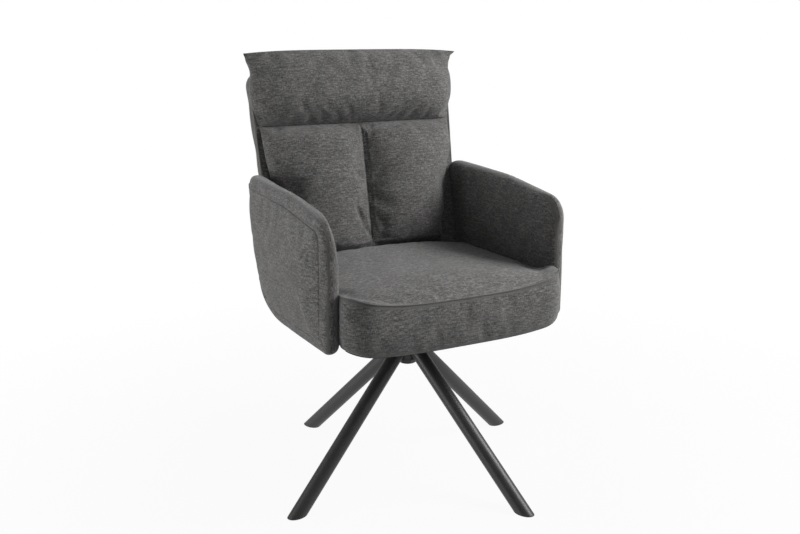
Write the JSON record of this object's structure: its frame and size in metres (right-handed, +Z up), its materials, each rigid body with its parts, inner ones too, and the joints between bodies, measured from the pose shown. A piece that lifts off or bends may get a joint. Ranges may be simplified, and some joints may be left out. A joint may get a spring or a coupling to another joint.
{
  "type": "swivel dining chair",
  "caption": "Upholstered swivel dining chair with rounded arms, a channelled back cushion with headrest, and splayed black steel legs",
  "frame": {"origin": "On the floor, on the swivel axis, in the middle of the four feet", "axes": "+Z up, the chair faces -Y, +X is to the right of somebody looking at its front"},
  "size_m": [0.7028, 0.7028, 0.9583],
  "materials": {
    "upholstery": "dark grey woven melange upholstery fabric",
    "foam": "cut open-cell foam block",
    "plywood": "raw plywood",
    "black_steel": "satin black powder coating",
    "zinc_steel": "zinc-plated steel",
    "black_plastic": "black nylon",
    "dust_cloth": "black non-woven dust cloth"
  },
  "bodies": {
    "base": {"leg_front_left": "black_steel", "leg_front_right": "black_steel", "leg_back_right": "black_steel", "leg_back_left": "black_steel", "glide_front_left": "black_plastic", "glide_front_right": "black_plastic", "glide_back_right": "black_plastic", "glide_back_left": "black_plastic", "hub_tube": "black_steel", "lower_bush": "black_plastic", "upper_bush": "black_plastic", "thrust_washer": "black_plastic"},
    "seat": {"spindle": "zinc_steel", "spindle_washer": "zinc_steel", "spindle_nut": "zinc_steel", "swivel_plate": "black_steel", "plate_bolts": "zinc_steel", "plate_washers": "zinc_steel", "tee_nuts": "zinc_steel", "arm_bracket_left": "black_steel", "arm_bracket_right": "black_steel", "back_bracket_left": "black_steel", "back_bracket_right": "black_steel", "bracket_screws": "zinc_steel", "seat_board": "plywood", "back_board": "plywood", "arm_board_left": "plywood", "arm_board_right": "plywood", "dust_cover": "dust_cloth", "seat_foam": "foam", "lumbar_foam_left": "foam", "lumbar_foam_right": "foam", "headrest_foam": "foam", "back_shell": "upholstery", "seat_cushion": "upholstery", "back_cushion": "upholstery", "arm_pad_left": "upholstery", "arm_pad_right": "upholstery", "arm_panel_left": "upholstery", "arm_panel_right": "upholstery"}
  },
  "joints": [
    {"name": "seat_swivel", "type": "hinge", "parent": "base", "child": "seat", "pos_m": [0, 0, 0.3], "axis": [0, 0, 1], "continuous": true}
  ]
}
